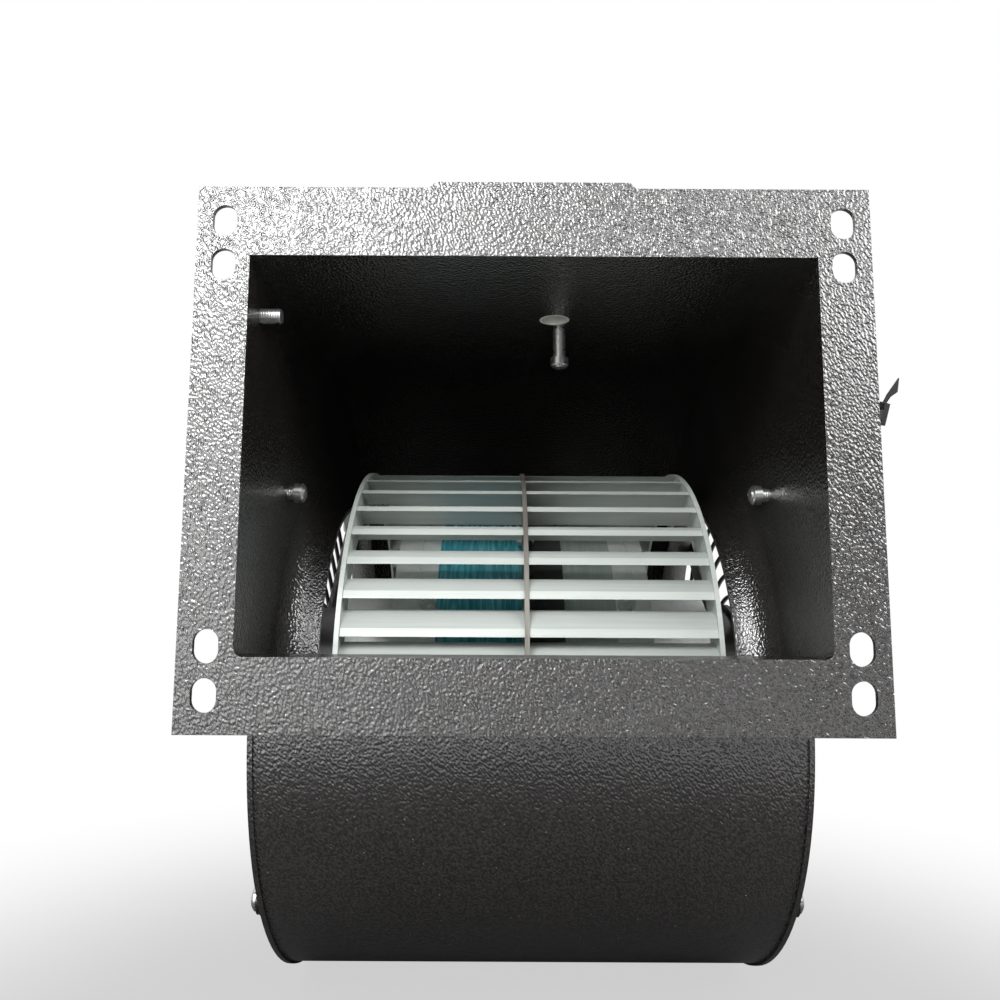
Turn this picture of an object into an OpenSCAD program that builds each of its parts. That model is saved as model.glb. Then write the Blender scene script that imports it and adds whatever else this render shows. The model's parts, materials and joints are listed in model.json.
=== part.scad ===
// Double inlet centrifugal blower with a brushless DC motor inside its impeller.
// Millimetres. The origin is the centre of the outlet opening on the flange's front face.
// +X runs along the impeller's axis, +Y runs from the outlet into the housing, +Z is up.

/* [Outlet] */
// Width of the outlet opening, which is also the width inside the housing
duct_w = 158; // [156:1:170]
// Height of the outlet opening
duct_h = 110; // [100:1:114]
// Width of the flange at each side of the opening
flange_side = 15; // [14:0.5:20]
// Width of the flange above and below the opening
flange_band = 20; // [18:0.5:26]
// Thickness of the flange plate
flange_t = 1.5; // [1:0.1:3]
// Radius of the lower corners of the opening
opening_corner = 2.5; // [1:0.5:6]
// Width of a fixing slot in the flange
slot_w = 6.8; // [5:0.1:7]
// Length of a fixing slot in the flange
slot_l = 9; // [8:0.1:10]
// Distance from the flange's side edge to a slot's centre
slot_edge = 7.7; // [6.5:0.1:8.5]
// Distance from the flange's top or bottom edge to the outer slot's centre
slot_outer = 10; // [8:0.1:11]
// Distance between the two slots of a corner
slot_pitch = 12.7; // [11.5:0.1:15]

/* [Scroll housing] */
// Distance from the flange's front face to the impeller's axis
axis_y = 113; // [111:1:125]
// Radius of the scroll's air side at its front, beside the cut-off
scroll_front = 91; // [88:0.5:93]
// Radius of the scroll's air side at its top, where it runs into the outlet
scroll_top = 124; // [120:1:136]
// Radius of the rounded cut-off below the outlet
nose_r = 10; // [6:0.5:12]
// Thickness of the wrapped sheet
sheet_t = 1.2; // [0.8:0.1:2]
// Thickness of a side plate
side_t = 1.5; // [1:0.1:2.5]
// Distance that a side plate's rim stands out past the wrapped sheet
rim_t = 0.8; // [0.4:0.1:2]

/* [Inlets] */
// Radius of the inlet's throat
throat_r = 64; // [60:0.5:65]
// Radius of the rolled bell mouth
bell_r = 12; // [10:0.5:13]
// Length of the straight lip behind the bell mouth
lip_l = 1.2; // [0.5:0.1:3]

/* [Finger guards] */
// Diameter of the guard's wire
wire_d = 1.8; // [1.4:0.1:2.2]
// Radius of the innermost ring
ring_first = 30.2; // [29:0.1:32]
// Distance from one ring to the next
ring_pitch = 9.2; // [8.5:0.1:9.5]
// Number of rings
ring_count = 6; // [4:1:6]
// Distance from the impeller's axis to a guard screw
screw_r = 90.5; // [90.3:0.1:91]
// Angle of a guard screw above or below the axis
screw_angle = 44.5; // [43:0.5:46]
// Outer radius of a guard's flattened eye
eye_r = 4.6; // [4:0.1:5.5]
// Thickness of a guard's flattened eye
eye_t = 1.2; // [0.8:0.1:1.8]

/* [Impeller] */
// Outer diameter of the impeller
impeller_d = 158; // [150:1:159]
// Length of the impeller over both rings
impeller_w = 120; // [100:1:122]
// Number of blades on each side of the centre disc
blade_count = 40; // [24:1:48]
// Thickness of a blade
blade_t = 0.8; // [0.5:0.1:1.2]
// Radius of a blade's curve
blade_curve = 13.4; // [12.5:0.1:15]
// Radial gap between the rotor and the blades' inner edges
rotor_gap = 8; // [7.5:0.5:10]
// Angle of the first blade's tip above the front
blade_phase = 4.6; // [0:0.1:9]
// Thickness of the centre disc
disc_t = 1.5; // [1:0.1:2.5]
// Distance from the housing's middle to the middle of the disc
disc_x = -0.5; // [-2:0.1:2]
// Thickness of an end ring's sheet
ring_t = 1; // [0.8:0.1:2]
// Height of the lip that an end ring turns over the blades
ring_lip = 0.5; // [0.3:0.1:4]
// Thickness of that lip
lip_t = 0.7; // [0.5:0.1:1]

/* [Motor] */
// Outer radius of the rotor
rotor_r = 58; // [56:0.5:59]
// Wall of the rotor's can
can_wall = 4; // [3:0.5:5]
// Half the length of the rotor's can
can_half = 30.5; // [26:0.5:34]
// Length of the left end bell
bell_left_l = 15; // [13:0.5:17]
// Length of the right end bell
bell_right_l = 12; // [12:0.5:16]
// Thickness of an end bell's face
bell_face = 4; // [3:0.5:6]
// Diameter of the fixed axle
axle_d = 12; // [10:0.5:12]
// Half the length of the axle
axle_half = 80; // [79:0.5:84]
// Outer diameter of a bearing
bearing_d = 28; // [26:0.5:32]
// Width of a bearing
bearing_w = 8; // [7:0.5:9]
// Radial gap between the stator's teeth and the magnets
air_gap = 1.3; // [0.8:0.1:2]
// Length of the stator's stack of laminations
stator_l = 36; // [28:1:38]
// Number of stator teeth
tooth_count = 12; // [9:3:12]
// Number of rotor magnets
magnet_count = 14; // [8:2:16]
// Thickness of a rotor magnet
magnet_t = 3.6; // [3:0.1:4]
// Height of the black hub ring's flange above the rotor
hub_flange = 6.5; // [5:0.5:7]
// Length of the black hub ring
hub_ring_l = 12.6; // [8:0.2:16]
// Number of disc rivets
rivet_count = 8; // [4:2:12]

/* [Motor mounts] */
// Outer radius of a motor mount
mount_r = 33; // [30:0.5:35]
// Outer radius of a bracket's dish
dish_r = 25; // [22:0.5:27]
// Depth of a bracket's dish below the side plate
dish_depth = 12; // [8:0.5:14]
// Thickness of a bracket
bracket_t = 1.5; // [1.2:0.1:2.5]
// Width of a bracket's arm
arm_w = 10; // [8:0.5:12]
// Radius of the circle of screws that hold a motor mount to its bracket
mount_screw_r = 17; // [15:0.5:18]
// Distance from the axis to the motor lead's hole in the right bracket
lead_hole_r = 17; // [15.5:0.5:18]

/* [Terminal box] */
// Width of the box across the housing
box_w = 61; // [54:0.5:72]
// Length of the box along the housing
box_l = 67; // [60:1:80]
// Distance from the flange's front face to the box
box_y = 8; // [4:1:12]
// Height of the box above the housing's top
box_h = 24.8; // [22:0.2:30]
// Wall of the box
box_wall = 1; // [0.8:0.1:1.5]
// Depth of the box's cover
cover_h = 15; // [12:0.5:20]
// Bevel along the top edges of the cover
cover_bevel = 2.2; // [1:0.1:4]
// Diameter of the bushed hole in the housing's top
bush_hole_d = 8.3; // [6:0.1:9]
// Outer diameter of the supply lead's gland
gland_d = 15; // [12:0.5:16]
// Bore of the supply lead's gland
gland_bore = 7; // [5:0.5:8]

/* [Fasteners and lead] */
// Diameter of an M4 screw's thread
m4_d = 4; // [3:0.1:4]
// Diameter of an M4 screw's head
m4_head_d = 7.4; // [6:0.1:7.4]
// Height of an M4 screw's head
m4_head_h = 1.8; // [1.6:0.1:3.2]
// Width across the corners of an M4 nut
m4_nut_d = 7.6; // [6.5:0.1:8]
// Height of an M4 nut
m4_nut_h = 3.2; // [2.2:0.1:3.4]
// Outer diameter of a guard screw's round nut
collar_d = 6.3; // [6:0.1:8]
// Height of a guard screw's round nut
collar_h = 3; // [2:0.1:4]
// Distance that a guard screw reaches inside the side plate
screw_reach = 6; // [5:0.1:8]
// Distance that the box's fixing screw reaches below the housing's top
drop_reach = 13.8; // [8:0.1:14]
// Diameter of the motor lead
lead_d = 5; // [4:0.1:5.6]

/* [Fits] */
// Gap round a screw in its hole
hole_gap = 0.2; // [0.1:0.05:0.3]
// Radial gap between the axle and the bearings that turn on it
running_gap = 0.04; // [0.02:0.01:0.08]
// Gap between pieces that are pressed or glued together
seat_gap = 0.05; // [0.02:0.01:0.1]
// Gap beside each face that turns past a fixed one
turning_gap = 0.5; // [0.3:0.1:1]

/* [Hidden] */
$fn = 96;
fine = 160;
wide_fn = 96;
round_fn = 48;
hole_fn = 32;
wire_fn = 24;
far = 400;

// Housing
half_w = duct_w / 2;
plate_out = half_w + side_t;
duct_top = duct_h / 2;
axis_z = duct_top - scroll_top;
flange_w = duct_w + 2 * flange_side;
flange_h = duct_h + 2 * flange_band;
scroll_step = (scroll_top - scroll_front) / 3;
front_r = scroll_front + scroll_step / 2;
back_r = front_r + scroll_step;
top_r = back_r + scroll_step;
front_c = [axis_y + scroll_step / 2, axis_z - scroll_step / 2];
back_c = [axis_y + scroll_step / 2, axis_z + scroll_step / 2];
top_c = [axis_y - scroll_step / 2, axis_z + scroll_step / 2];
front_y = axis_y - scroll_front;
nose_c = [front_y - nose_r, -duct_top - nose_r];
rim_out = sheet_t + rim_t;
roof = duct_top + sheet_t;

// Guards, brackets and their screws
bracket_out = plate_out + bracket_t;
guard_x = bracket_out + wire_d / 2;
rings_x = guard_x + wire_d * 0.75;
arm_in = ring_first - wire_d / 4;
arm_out = screw_r - m4_head_d / 2 - hole_gap;
eye_out = bracket_out + eye_t;
m4_hole = m4_d + 2 * hole_gap;
nut_step = 0.4;
corner_angles = [screw_angle, -screw_angle, 180 - screw_angle, 180 + screw_angle];
dish_floor = plate_out - dish_depth;
mount_screw_angles = [60, 180, 300];
mount_end = 5;
mount_hub_t = 6;
mount_screw_l = 10;
mount_head_d = 7;
mount_head_h = 2.4;
lead_hole_d = lead_d + 2;
lead_hole_y = axis_y - lead_hole_r;

// Impeller
impeller_r = impeller_d / 2;
tip_r = impeller_r - lip_t - seat_gap;
half_l = impeller_w / 2;
disc_right = disc_x + disc_t / 2;
disc_left = disc_x - disc_t / 2;
curve_c = [-(tip_r - 12.7), -3.7];

// Motor
axle_r = axle_d / 2;
bell_left_x = -can_half - bell_left_l;
bell_right_x = can_half + bell_right_l;
bearing_inset = 1;
can_in = rotor_r - can_wall;
magnet_in = can_in - seat_gap - magnet_t;
stator_r = magnet_in - air_gap;
blade_in = rotor_r + rotor_gap;
magnet_slit = 1.2;
tooth_w = 6;
yoke_r = 24;
shoe_t = 2.5;
winding_t = 3;
shoe_slit = 3;
spigot_r = 8;
mount_wall = 3;
axle_nut_h = 6;
axle_nut_w = 4;
axle_washer_t = 1.2;
axle_washer_w = 5;
bearing_hub = 4;
vent_r = 7;
vent_at = (bearing_d / 2 + bearing_hub + can_in) / 2;
vent_count = 6;
slit_count = 8;
slit_x = 7;
slit_l = 3.4;
slit_w = 2.4;
bell_screw_count = 4;
bell_screw_x = 3;
bell_screw_d = 3;
bell_screw_head_d = 5.2;
bell_screw_head_h = 1.6;
sleeve_t = 0.5;
sleeve_end = 0.3;
hub_wall = 1.6;
hub_flange_t = 2;
hub_ring_r = rotor_r + hub_flange;
rivet_d = 2.4;
rivet_head_d = 4;
rivet_head_h = 1.6;
rivet_tail_d = 3.2;
rivet_tail_h = 1;
rivet_r = rotor_r + hub_wall + rivet_tail_d / 2 + 2 * seat_gap;
rivet_angle = 55;

// Terminal box
cover_gap = 0.2;
box_in_w = box_w - 2 * box_wall - 2 * cover_gap;
box_in_l = box_l - 2 * box_wall - 2 * cover_gap;
box_mid_y = box_y + box_l / 2;
box_top = roof + box_h;
base_h = box_h - cover_bevel - box_wall / 2 - cover_gap;
base_back = box_mid_y + box_in_l / 2;
cover_screw_z = box_top - cover_h / 2;
cover_screw_d = 2.9;
cover_screw_l = 5;
cover_head_d = 5.6;
cover_head_h = 1.8;
fixing_at = [11.6, box_y + box_l - 12.3];
bush_at = [9.2, fixing_at[1] - 10.3];
bush_wall = 1;
bush_rim = 1;
gland_z = roof + 11.5;
gland_x = -12;
gland_stub_d = gland_d - 3;
gland_stub_l = 6;
gland_hex_h = 4.5;
gland_cap_h = 10;
gland_in = base_back - gland_stub_l - 1;
board_rise = 6;
board_z = roof + box_wall + board_rise;
board_t = 1.6;
board_w = box_in_w - 6;
board_l = 2 * (gland_in - box_mid_y);
board_top = board_z + board_t;
corner_in = 3.5;
spacer_d = 5;
spacer_pin_d = 3;
spacer_tip = 1;
chip = [6, 9, 2.2];
chip_pitch = 12;
cap_d = 10;
cap_h = 13;
cap_pitch = 14;
block = [16, 7, 8];
block_pitch = 5;
block_hole_d = 2.6;
grommet_z = roof + 11;
grommet_y = box_mid_y - 7.5;
grommet_hole_d = lead_d + 3;
grommet_rim = 1.3;
grommet_rim_t = 1.2;

// Earth screw, near the outlet on the left side
earth_at = [12.5, duct_top - 13.2];
earth_reach = 6;
washer_d = 10;
washer_t = 1;

// Cable tie and saddle on the motor lead
tie_at = [plate_out + 17.9, 15, (axis_z + roof) / 2 + 20.9];
tie_w = 2.6;
tie_t = 0.7;
tie_gap = 0.3;
tie_turn = 22;
tie_head = [1.5, 4.4, 6.4];
saddle_at = [half_w - 19, 30, roof + lead_d / 2 + 1.9];
saddle_turn = -17;
saddle_w = 8;
saddle_wall = 2;
saddle_gap = 0.45;
saddle_foot = [8, 25, 1.5];

// Route of the motor lead, from inside the right motor mount round to the terminal box
mid_z = (axis_z + roof) / 2;
lead_points = [
    [dish_floor - 4, lead_hole_y, axis_z], [dish_floor + 4, lead_hole_y, axis_z],
    [dish_floor + 9, lead_hole_y, axis_z], [plate_out + 8, lead_hole_y - 1.5, axis_z + 1.5],
    [plate_out + 13, lead_hole_y - 8, axis_z + 8], [plate_out + 15.3, axis_y - 36, axis_z + 23],
    [plate_out + 16.3, 60, mid_z - 22.6], [plate_out + 17.1, 42, mid_z - 6.6],
    [plate_out + 17.7, 24, mid_z + 6.4], tie_at, [plate_out + 15.8, 12.5, roof - 28.2],
    [plate_out + 10.8, 15, roof - 13.2], [plate_out + 4.5, 19.5, roof + 2.3],
    [half_w - 5, 25, roof + 6.6], saddle_at, [box_w / 2 + 17, grommet_y - 1, roof + 6.5],
    [box_w / 2 + 8, grommet_y, grommet_z], [box_w / 2 + 3, grommet_y, grommet_z],
    [box_w / 2 - 5, grommet_y, grommet_z]];
lead_sides = 10;
lead_steps = 4;

// Sheet drawn in the YZ plane and given a thickness along X
module along_x(x, t) {
    translate([x, 0, 0]) rotate([90, 0, 90]) linear_extrude(t) children();
}

// Plate drawn in the XZ plane and given a thickness along Y
module along_y(y, t) {
    translate([0, y + t, 0]) rotate([90, 0, 0]) linear_extrude(t) children();
}

// Children turned about the impeller's axis, from the front upwards
module turned(angle) {
    translate([0, axis_y, axis_z]) rotate([-angle, 0, 0]) children();
}

// Profile of radius and X, spun about the impeller's axis
module spun(smooth = fine) {
    translate([0, axis_y, axis_z]) rotate([0, 90, 0]) rotate_extrude($fn = smooth) children();
}

// A tube or disc about the impeller's axis
module hoop(inner, outer, x1, x2, smooth = fine) {
    spun(smooth) translate([inner, x1]) square([outer - inner, x2 - x1]);
}

// A rod along +X
module rod_x(x, r, l, smooth = round_fn) {
    translate([x, 0, 0]) rotate([0, 90, 0]) cylinder(h = l, r = r, $fn = smooth);
}

// Children as drawn on the right, or reflected to the left
module on_side(side) {
    if (side > 0) children();
    else mirror([1, 0, 0]) children();
}

// Screw along +X from x: thread to x, head outwards from seat
module screw_x(tip, seat, d = m4_d, head_d = m4_head_d, head_h = m4_head_h) {
    rod_x(tip, d / 2, seat - tip, hole_fn);
    difference() {
        translate([seat, 0, 0]) rotate([0, 90, 0]) rotate_extrude($fn = round_fn)
            polygon([[0, 0], [head_d / 2, 0], [head_d / 2, head_h * 0.55], [head_d * 0.36, head_h], [0, head_h]]);
        for (turn = [0, 90])
            translate([seat + head_h * 0.9, 0, 0]) rotate([turn, 0, 0])
                cube([head_h, head_d * 0.5, head_h * 0.3], center = true);
    }
}

// Hexagon nut along +X from x
module nut_x(x, d = m4_nut_d, h = m4_nut_h, bore = m4_d) {
    difference() {
        rod_x(x, d / 2, h, 6);
        rod_x(x - 1, bore / 2 + seat_gap, h + 2, hole_fn);
    }
}

// Round nut along +X from x, its free end chamfered
module collar_x(x, d = collar_d, h = collar_h, bore = m4_d) {
    in_r = bore / 2 + seat_gap;
    chamfer = h / 6;
    translate([x, 0, 0]) rotate([0, 90, 0]) rotate_extrude($fn = round_fn)
        polygon([[in_r, 0], [d / 2 - chamfer, 0], [d / 2, chamfer], [d / 2, h], [in_r, h]]);
}

// Quarter of a plane, from a corner towards the given directions
module quarter(c, dy, dz) {
    translate([c[0] - (dy < 0 ? far : 0), c[1] - (dz < 0 ? far : 0)]) square(far);
}

// The scroll and duct seen from the side, grown by e past the air side
module scroll_area(e) {
    intersection() {
        translate(front_c) circle(front_r + e, $fn = fine);
        quarter(front_c, -1, -1);
    }
    intersection() {
        translate(back_c) circle(back_r + e, $fn = fine);
        quarter(back_c, 1, -1);
    }
    intersection() {
        translate(top_c) circle(top_r + e, $fn = fine);
        quarter(top_c, 1, 1);
    }
    translate([front_y - e, front_c[1]]) square([front_c[0] - front_y + e, -duct_top - front_c[1]]);
    translate([flange_t, -duct_top - e]) square([top_c[0] - flange_t, duct_h + 2 * e]);
    difference() {
        translate(nose_c) square(nose_r - e);
        translate(nose_c) circle(nose_r - e);
    }
}

// Strip of sheet along an arc, in one quarter of a circle
module arc_strip(c, r, t, dy, dz) {
    intersection() {
        difference() {
            translate(c) circle(r + t, $fn = fine);
            translate(c) circle(r, $fn = fine);
        }
        quarter(c, dy, dz);
    }
}

module scroll_wrap() color("#1d1c1c") {
    difference() {
        along_x(-half_w, duct_w) {
            arc_strip(front_c, front_r, sheet_t, -1, -1);
            arc_strip(back_c, back_r, sheet_t, 1, -1);
            arc_strip(top_c, top_r, sheet_t, 1, 1);
            translate([flange_t, duct_top]) square([top_c[0] - flange_t, sheet_t]);
            translate([front_y - sheet_t, front_c[1]]) square([sheet_t, nose_c[1] - front_c[1]]);
            arc_strip(nose_c, nose_r - sheet_t, sheet_t, 1, 1);
            translate([flange_t, -duct_top - sheet_t]) square([nose_c[0] - flange_t, sheet_t]);
        }
        translate([fixing_at[0], fixing_at[1], duct_top - 1]) cylinder(h = sheet_t + 2, d = m4_hole, $fn = hole_fn);
        translate([bush_at[0], bush_at[1], duct_top - 1])
            cylinder(h = sheet_t + 2, d = bush_hole_d + 2 * bush_wall, $fn = round_fn);
    }
}

module side_plate(side) {
    hole_r = throat_r + bell_r;
    bell_x = plate_out - bell_r;
    on_side(side) {
        difference() {
            union() {
                along_x(half_w, side_t) difference() {
                    scroll_area(rim_out);
                    translate([axis_y, axis_z]) circle(hole_r, $fn = fine);
                }
                spun() {
                    intersection() {
                        translate([hole_r, bell_x]) difference() {
                            circle(bell_r);
                            circle(bell_r - side_t);
                        }
                        translate([0, bell_x]) square([hole_r, bell_r]);
                    }
                    translate([throat_r, bell_x - lip_l]) square([side_t, lip_l]);
                }
            }
            for (a = corner_angles)
                turned(a) translate([0, -screw_r, 0]) rod_x(half_w - 1, m4_hole / 2, side_t + 2, hole_fn);
            if (side < 0)
                translate([0, earth_at[0], earth_at[1]])
                    rod_x(half_w - 1, m4_d / 2 + seat_gap, side_t + 2, hole_fn);
        }
    }
}

module side_plate_left() color("#1d1c1c") side_plate(-1);
module side_plate_right() color("#1d1c1c") side_plate(1);

// Slot that runs up and down
module upright_slot(x, z) {
    straight = slot_l - slot_w;
    translate([x, z]) {
        for (end = [-1, 1])
            translate([0, end * straight / 2]) circle(d = slot_w, $fn = round_fn);
        square([slot_w, straight], center = true);
    }
}

module outlet_flange() color("#2a2829") {
    along_y(0, flange_t) difference() {
        square([flange_w, flange_h], center = true);
        difference() {
            square([duct_w, duct_h], center = true);
            for (s = [-1, 1])
                translate([s * (half_w - opening_corner), -duct_top + opening_corner])
                    mirror([s < 0 ? 1 : 0, 0]) mirror([0, 1]) difference() {
                        square(opening_corner + 1);
                        circle(opening_corner, $fn = round_fn);
                    }
        }
        for (s = [-1, 1], u = [-1, 1], step = [0, 1])
            upright_slot(s * (flange_w / 2 - slot_edge), u * (flange_h / 2 - slot_outer - step * slot_pitch));
    }
}

module finger_guard(side) {
    eye_x = side > 0 ? bracket_out : -eye_out;
    for (k = [0:ring_count - 1])
        spun() translate([ring_first + k * ring_pitch, side * rings_x]) circle(d = wire_d, $fn = wire_fn);
    for (a = corner_angles)
        turned(a) {
            translate([side * guard_x, -arm_in, 0]) rotate([90, 0, 0])
                cylinder(h = arm_out - arm_in, d = wire_d, $fn = wire_fn);
            difference() {
                translate([0, -screw_r, 0]) rod_x(eye_x, eye_r, eye_t);
                translate([0, -screw_r, 0]) rod_x(eye_x - 1, m4_hole / 2, eye_t + 2, hole_fn);
            }
        }
}

module finger_guard_left() color("#161616") finger_guard(-1);
module finger_guard_right() color("#161616") finger_guard(1);

module guard_screws(side) {
    on_side(side) for (a = corner_angles)
        turned(a) translate([0, -screw_r, 0]) screw_x(half_w - screw_reach, eye_out);
}

module guard_screws_left() color("#c9ccca") guard_screws(-1);
module guard_screws_right() color("#c9ccca") guard_screws(1);

module guard_nuts() color("#d5d8d6") {
    for (side = [-1, 1], a = corner_angles)
        on_side(side) turned(a) translate([0, -screw_r, 0]) collar_x(half_w - screw_reach + nut_step);
}

// Flat spider with a dish that reaches in to the motor mount
module motor_bracket(side) {
    on_side(side) difference() {
        union() {
            hoop(0, dish_r, dish_floor, dish_floor + bracket_t);
            hoop(dish_r - bracket_t, dish_r, dish_floor, bracket_out);
            hoop(dish_r - bracket_t, dish_r + 2, plate_out, bracket_out);
            for (a = corner_angles)
                turned(a) {
                    translate([plate_out, -screw_r, -arm_w / 2])
                        cube([bracket_t, screw_r - dish_r + bracket_t / 2, arm_w]);
                    translate([0, -screw_r, 0]) rod_x(plate_out, arm_w / 2, bracket_t);
                }
        }
        for (a = corner_angles)
            turned(a) translate([0, -screw_r, 0]) rod_x(plate_out - 1, m4_hole / 2, bracket_t + 2, hole_fn);
        for (a = mount_screw_angles)
            turned(a) translate([0, -mount_screw_r, 0]) rod_x(dish_floor - 1, m4_hole / 2, bracket_t + 2, hole_fn);
        turned(0) rod_x(dish_floor - 1, axle_r + hole_gap, bracket_t + 2, round_fn);
        if (side > 0)
            turned(0) translate([0, -lead_hole_r, 0])
                rod_x(dish_floor - 1, lead_hole_d / 2, bracket_t + 2, hole_fn);
    }
}

module motor_bracket_left() color("#141414") motor_bracket(-1);
module motor_bracket_right() color("#141414") motor_bracket(1);

// Cast hub on the fixed axle, open towards the rotor
module motor_mount(side) {
    bell_end = side > 0 ? bell_right_x : -bell_left_x;
    open_end = bell_end + turning_gap + 1.5;
    spigot_end = bell_end - bearing_inset + turning_gap;
    on_side(side) difference() {
        union() {
            hoop(mount_r - mount_wall, mount_r, open_end, dish_floor);
            hoop(axle_r + seat_gap, mount_r, dish_floor - mount_end, dish_floor);
            hoop(axle_r + seat_gap, axle_r + mount_hub_t, bell_end + turning_gap, dish_floor);
            hoop(axle_r + seat_gap, spigot_r, spigot_end, dish_floor);
        }
        for (a = mount_screw_angles)
            turned(a) translate([0, -mount_screw_r, 0])
                rod_x(dish_floor - mount_end - 1, m4_hole / 2, mount_end + 2, hole_fn);
        if (side > 0)
            turned(0) translate([0, -lead_hole_r, 0])
                rod_x(dish_floor - mount_end - 1, lead_hole_d / 2, mount_end + 2, hole_fn);
    }
}

module motor_mount_left() color("#a9aeac") motor_mount(-1);
module motor_mount_right() color("#a9aeac") motor_mount(1);

module mount_screws() color("#c9ccca") {
    for (side = [-1, 1], a = mount_screw_angles)
        on_side(side) turned(a) translate([0, -mount_screw_r, 0])
            screw_x(dish_floor - mount_screw_l, dish_floor + bracket_t,
                head_d = mount_head_d, head_h = mount_head_h);
}

module mount_screw_nuts() color("#d5d8d6") {
    for (side = [-1, 1], a = mount_screw_angles)
        on_side(side) turned(a) translate([0, -mount_screw_r, 0]) nut_x(dish_floor - mount_end - m4_nut_h);
}

module motor_axle() color("#9fa3a2") turned(0) rod_x(-axle_half, axle_r, 2 * axle_half, wide_fn);

module axle_washers() color("#c9ccca") {
    for (side = [-1, 1])
        on_side(side) hoop(axle_r + hole_gap, axle_r + axle_washer_w, dish_floor + bracket_t,
            dish_floor + bracket_t + axle_washer_t, wide_fn);
}

module axle_nuts() color("#c9ccca") {
    for (side = [-1, 1])
        on_side(side) turned(0)
            nut_x(dish_floor + bracket_t + axle_washer_t, 2 * (axle_r + axle_nut_w), axle_nut_h, axle_d);
}

// Laminated stack: a yoke, its teeth and the shoes that face the magnets
module stator_core() color("#7d8183") {
    difference() {
        union() {
            hoop(axle_r + seat_gap, yoke_r, -stator_l / 2, stator_l / 2, wide_fn);
            for (k = [0:tooth_count - 1])
                turned(k * 360 / tooth_count)
                    translate([-stator_l / 2, -stator_r + shoe_t / 2, -tooth_w / 2])
                        cube([stator_l, stator_r - shoe_t / 2 - yoke_r + 1, tooth_w]);
            difference() {
                hoop(stator_r - shoe_t, stator_r, -stator_l / 2, stator_l / 2);
                for (k = [0:tooth_count - 1])
                    turned((k + 0.5) * 360 / tooth_count)
                        translate([-stator_l, -stator_r - 1, -shoe_slit / 2])
                            cube([2 * stator_l, shoe_t + 3, shoe_slit]);
            }
        }
    }
}

module stator_windings() color("#b0673a") {
    coil_in = tooth_w / 2 + hole_gap;
    for (k = [0:tooth_count - 1])
        turned(k * 360 / tooth_count) difference() {
            translate([-stator_l / 2 - winding_t, -stator_r + shoe_t + 0.5, -coil_in - winding_t])
                cube([stator_l + 2 * winding_t, stator_r - shoe_t - yoke_r - 7, 2 * (coil_in + winding_t)]);
            translate([-stator_l / 2 - hole_gap, -stator_r, -coil_in])
                cube([stator_l + 2 * hole_gap, stator_r, 2 * coil_in]);
        }
}

module sensor_board() color("#2c6a46")
    hoop(axle_r + seat_gap, yoke_r - 2, stator_l / 2, stator_l / 2 + board_t, wide_fn);

module bearing(x) {
    groove = (bearing_d / 2 + axle_r) / 2;
    difference() {
        hoop(axle_r + running_gap, bearing_d / 2 - seat_gap, x, x + bearing_w, wide_fn);
        hoop(groove - 2, groove + 2, x - 1, x + 0.8, wide_fn);
        hoop(groove - 2, groove + 2, x + bearing_w - 0.8, x + bearing_w + 1, wide_fn);
    }
}

module bearing_left() color("#b9bcbb") bearing(bell_left_x + bearing_inset);
module bearing_right() color("#b9bcbb") bearing(bell_right_x - bearing_inset - bearing_w);

module rotor_can() color("#a3b0ad") hoop(can_in, rotor_r, -can_half, can_half);

module rotor_magnets() color("#54585a") {
    difference() {
        hoop(magnet_in, can_in - seat_gap, -stator_l / 2, stator_l / 2);
        for (k = [0:magnet_count - 1])
            turned(k * 360 / magnet_count)
                translate([-stator_l, -can_in - 1, -magnet_slit / 2])
                    cube([2 * stator_l, magnet_t + 3, magnet_slit]);
    }
}

// Cup that closes one end of the rotor and holds a bearing
module end_bell(side) {
    length = side > 0 ? bell_right_l : bell_left_l;
    face = can_half + length;
    seat = face - bearing_inset - bearing_w;
    hub_r = bearing_d / 2 + bearing_hub;
    on_side(side) difference() {
        union() {
            hoop(can_in, rotor_r, can_half, face);
            hoop(bearing_d / 2, rotor_r, face - bell_face, face);
            hoop(bearing_d / 2, hub_r, seat, face, wide_fn);
            hoop(spigot_r + 2, hub_r, seat - 1.5, seat, wide_fn);
        }
        hoop(rotor_r - 0.5, rotor_r + 1, can_half + 6, can_half + 6.6);
        for (k = [0:vent_count - 1])
            turned(k * 360 / vent_count) translate([0, -vent_at, 0])
                rod_x(face - bell_face - 1, vent_r, bell_face + 2);
        for (k = [0:slit_count - 1])
            turned(46.5 + k * 360 / slit_count) translate([can_half + slit_x, -rotor_r - 1, -slit_w / 2])
                cube([slit_l, can_wall + 3, slit_w]);
        for (k = [0:bell_screw_count - 1])
            turned(27.4 + k * 360 / bell_screw_count)
                translate([can_half + bell_screw_x, -rotor_r + can_wall + 1, 0]) rotate([90, 0, 0])
                    cylinder(h = can_wall + 2, d = bell_screw_d + 2 * hole_gap, $fn = hole_fn);
    }
}

module end_bell_left() color("#b8bebb") end_bell(-1);
module end_bell_right() color("#b8bebb") end_bell(1);

module end_bell_screws() color("#d5d8d6") {
    for (side = [-1, 1], k = [0:bell_screw_count - 1])
        on_side(side) turned(27.4 + k * 360 / bell_screw_count)
            translate([can_half + bell_screw_x, -rotor_r, 0]) rotate([90, 0, 0]) {
                cylinder(h = bell_screw_head_h, d = bell_screw_head_d, $fn = hole_fn);
                translate([0, 0, -can_wall]) cylinder(h = can_wall + 0.5, d = bell_screw_d, $fn = hole_fn);
            }
}

module rotor_sleeve() color("#1f8793")
    hoop(rotor_r + seat_gap, rotor_r + sleeve_t, -can_half, disc_left - sleeve_end);

// Children at each rivet through the disc and the hub ring's flange
module at_rivets() {
    for (k = [0:rivet_count - 1])
        turned(rivet_angle + k * 360 / rivet_count) translate([0, -rivet_r, 0]) children();
}

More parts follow.
